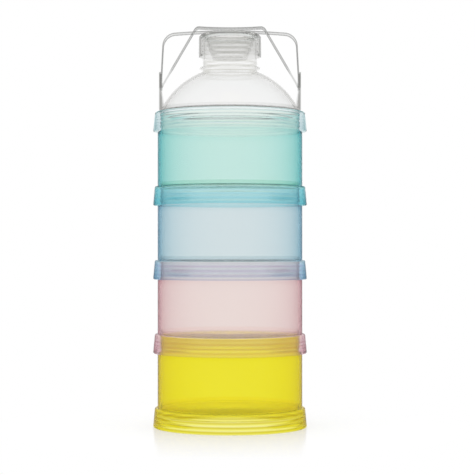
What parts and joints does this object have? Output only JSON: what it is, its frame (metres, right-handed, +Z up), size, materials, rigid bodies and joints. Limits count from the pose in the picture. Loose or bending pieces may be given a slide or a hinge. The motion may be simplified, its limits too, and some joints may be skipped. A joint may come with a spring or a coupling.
{
  "type": "formula dispenser",
  "caption": "Stacking milk powder dispenser: twist-lock translucent cups under a clear domed pouring lid with a capped spout and a lift-off carry handle.",
  "frame": {"origin": "centre of the stack's footprint, on the surface it stands on", "axes": "+Z up along the stack's axis, -Y towards the front from which the picture is taken, +X to the right in it"},
  "size_m": [0.0768, 0.0768, 0.1997],
  "materials": {
    "yellow_pp": "translucent moulded polypropylene, satin",
    "pink_pp": "translucent moulded polypropylene, satin",
    "blue_pp": "translucent moulded polypropylene, satin",
    "aqua_pp": "translucent moulded polypropylene, satin",
    "clear_lid": "clear moulded plastic, polished",
    "clear_cap": "clear moulded plastic, polished",
    "clear_handle": "clear moulded plastic, polished",
    "silicone_seal": "clear silicone, matt"
  },
  "bodies": {
    "base": {"cup_yellow": "yellow_pp"},
    "pink_stage": {"cup_pink": "pink_pp"},
    "blue_stage": {"cup_blue": "blue_pp"},
    "aqua_stage": {"cup_aqua": "aqua_pp"},
    "lid": {"dome_lid": "clear_lid"},
    "handle": {"carry_handle": "clear_handle"},
    "cap": {"spout_cap": "clear_cap", "cap_seal": "silicone_seal"}
  },
  "joints": [
    {"name": "pink_twist", "type": "hinge", "parent": "base", "child": "pink_stage", "pos_m": [0, 0, 0.0368], "axis": [0, 0, 1], "range_deg": [0, 45]},
    {"name": "blue_twist", "type": "hinge", "parent": "pink_stage", "child": "blue_stage", "pos_m": [0, 0, 0.0736], "axis": [0, 0, 1], "range_deg": [0, 45]},
    {"name": "aqua_twist", "type": "hinge", "parent": "blue_stage", "child": "aqua_stage", "pos_m": [0, 0, 0.1104], "axis": [0, 0, 1], "range_deg": [0, 45]},
    {"name": "lid_twist", "type": "hinge", "parent": "aqua_stage", "child": "lid", "pos_m": [0, 0, 0.1472], "axis": [0, 0, 1], "range_deg": [0, 45]},
    {"name": "cap_twist", "type": "hinge", "parent": "lid", "child": "cap", "pos_m": [0, 0, 0.1846], "axis": [0, 0, 1], "range_deg": [0, 90]},
    {"name": "handle_lift", "type": "slide", "parent": "lid", "child": "handle", "axis": [0, 0, 1], "range_m": [0, 0.05]}
  ]
}
